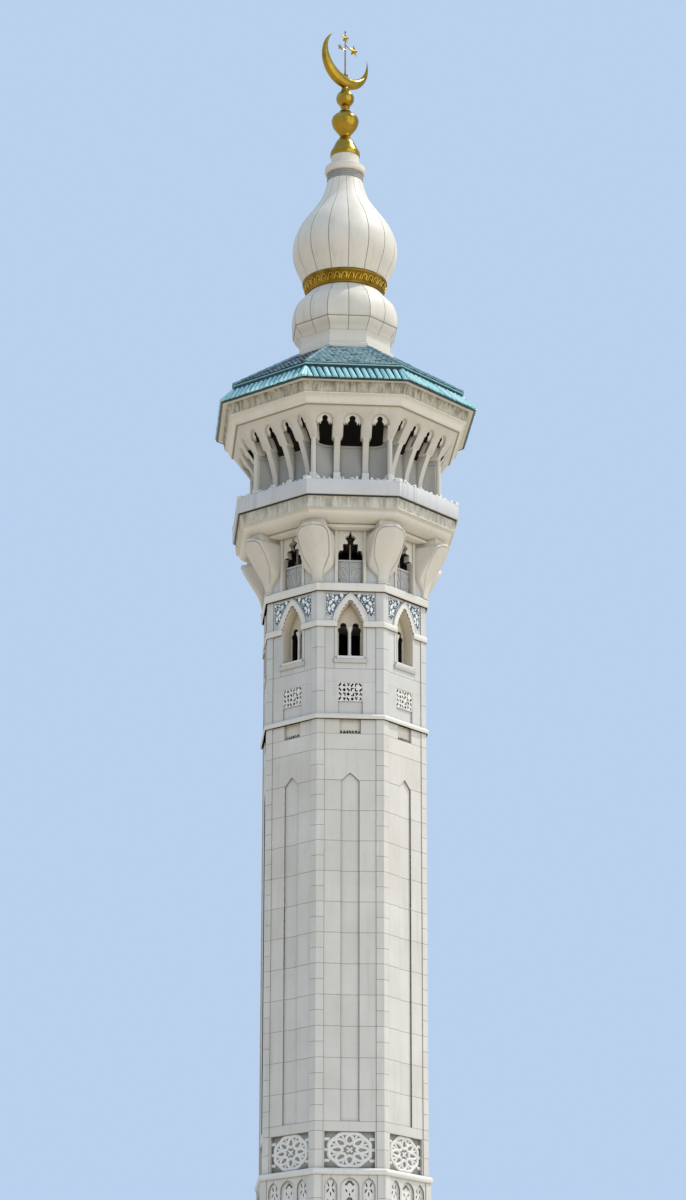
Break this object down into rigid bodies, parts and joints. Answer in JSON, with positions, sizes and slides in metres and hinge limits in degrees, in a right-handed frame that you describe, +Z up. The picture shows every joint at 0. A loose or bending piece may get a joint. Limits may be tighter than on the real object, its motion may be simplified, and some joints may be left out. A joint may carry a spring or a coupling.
{
  "type": "octagonal stone minaret with a corbelled gallery and an onion dome",
  "caption": "Hollow white stone minaret, octagonal, with twin windows, a corbelled arcaded gallery, a tiled roof, an onion dome and a gilded crescent.",
  "frame": {"origin": "centre of the plinth's flat underside, on the ground", "axes": "+Z up along the tower's axis; -Y out of the front face; +X to the right of it"},
  "size_m": [7.38, 7.38, 39.55],
  "materials": {
    "marble": "matte",
    "dome_white": "satin",
    "turquoise_tile": "satin",
    "gilding": "satin"
  },
  "bodies": {
    "root": {"plinth": "marble", "base_wall_front": "marble", "base_wall_right": "marble", "base_wall_back": "marble", "base_wall_left": "marble", "base_ledge": "marble", "shaft_wall_front": "marble", "shaft_wall_right": "marble", "shaft_wall_back": "marble", "shaft_wall_left": "marble", "window_floor": "marble", "window_wall_front": "marble", "window_wall_right": "marble", "window_wall_back": "marble", "window_wall_left": "marble", "corbel_floor": "marble", "corbel_wall_front": "marble", "corbel_wall_right": "marble", "corbel_wall_back": "marble", "corbel_wall_left": "marble", "gallery_cornice": "marble", "gallery_floor": "marble", "gallery_upstand": "marble", "gallery_guard": "marble", "arcade_front": "marble", "arcade_right": "marble", "arcade_back": "marble", "arcade_left": "marble", "gallery_ceiling": "marble", "upper_cornice": "marble", "roof_lower_tier": "turquoise_tile", "roof_upper_tier": "turquoise_tile", "dome_collar": "dome_white", "lower_bulb": "dome_white", "gold_band": "gilding", "onion_dome": "dome_white", "dome_neck": "dome_white", "finial_cup": "gilding", "finial_bulb": "gilding", "finial_ball": "gilding", "crescent": "gilding", "star_spray": "gilding"}
  },
  "joints": []
}
